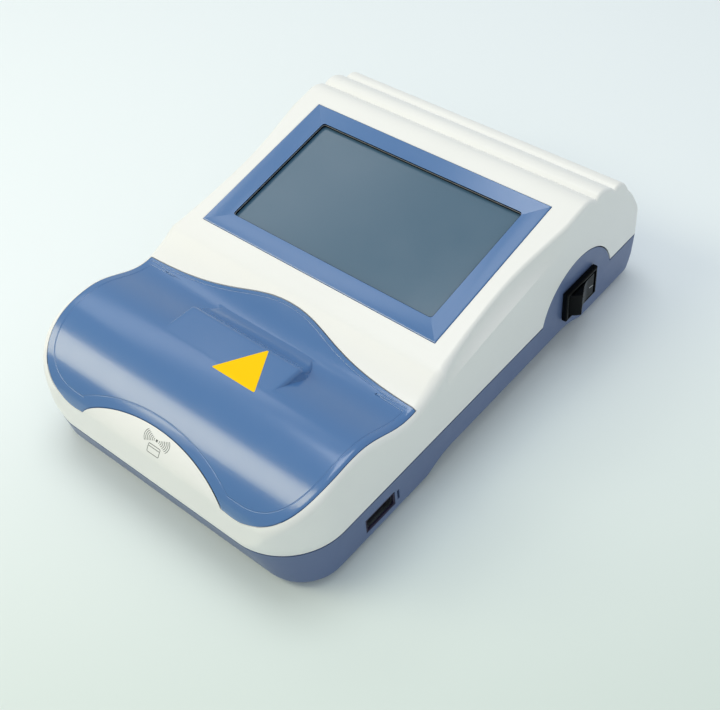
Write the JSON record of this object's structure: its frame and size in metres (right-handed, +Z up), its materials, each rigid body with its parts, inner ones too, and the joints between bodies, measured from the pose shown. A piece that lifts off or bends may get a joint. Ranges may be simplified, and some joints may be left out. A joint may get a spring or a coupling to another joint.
{
  "type": "glycated hemoglobin analyzer",
  "caption": "Desktop glycated hemoglobin analyzer: white shell on a blue tub, sloping touch screen, hinged blue lid over the cartridge bay, side rocker switch and data socket.",
  "frame": {"origin": "on the table, under the middle of the whole width and length", "axes": "+X to the analyzer's right, where the switch is, +Y from the lid to the rear, +Z up"},
  "size_m": [0.1416, 0.211, 0.0637],
  "materials": {
    "white_shell": "fine satin moulded plastic",
    "blue_shell": "semi-gloss moulded plastic",
    "deep_blue_shell": "fine matte moulded plastic",
    "black_plastic": "satin black plastic",
    "black_foam": "soft black foam",
    "grey_plastic": "satin grey plastic",
    "dark_glass": "smooth glass over a dark display",
    "steel": "bright pressed steel",
    "aluminium": "satin aluminium",
    "green_board": "solder-masked board",
    "rubber": "matte rubber",
    "clear_lens": "clear moulded lens",
    "amber_film": "flexible film"
  },
  "bodies": {
    "casing": {"upper_housing": "white_shell", "lower_housing": "deep_blue_shell", "screen_bezel": "blue_shell", "screen_gasket": "black_foam", "touch_glass": "dark_glass", "lcd_module": "aluminium", "lcd_bracket": "steel", "hinge_bracket": "steel", "hinge_pin": "steel", "front_chassis": "steel", "heater_plate": "aluminium", "cartridge_holder": "black_plastic", "bay_deck": "grey_plastic", "optics_block": "black_plastic", "led_emitter": "clear_lens", "optics_lens": "clear_lens", "photodiode": "black_plastic", "detector_board": "green_board", "card_reader_board": "green_board", "main_board": "green_board", "processor_chip": "black_plastic", "buzzer": "black_plastic", "display_socket": "grey_plastic", "display_cable": "amber_film", "io_board": "green_board", "usb_socket": "steel", "power_jack": "black_plastic", "switch_body": "black_plastic", "case_screw_1": "steel", "case_screw_2": "steel", "case_screw_3": "steel", "case_screw_4": "steel", "foot_1": "rubber", "foot_2": "rubber", "foot_3": "rubber", "foot_4": "rubber"},
    "lid": {"lid": "blue_shell", "lid_arm_left": "black_plastic", "lid_arm_right": "black_plastic"},
    "rocker": {"rocker": "black_plastic"}
  },
  "joints": [
    {"name": "lid_hinge", "type": "hinge", "parent": "casing", "child": "lid", "pos_m": [-0.00283, -0.015, 0.0438], "axis": [-1, 0, 0], "range_deg": [0, 60]},
    {"name": "rocker_tilt", "type": "hinge", "parent": "casing", "child": "rocker", "pos_m": [0.06357, 0.0601, 0.0213], "axis": [0, 0, 1], "range_deg": [-27, 0]}
  ]
}
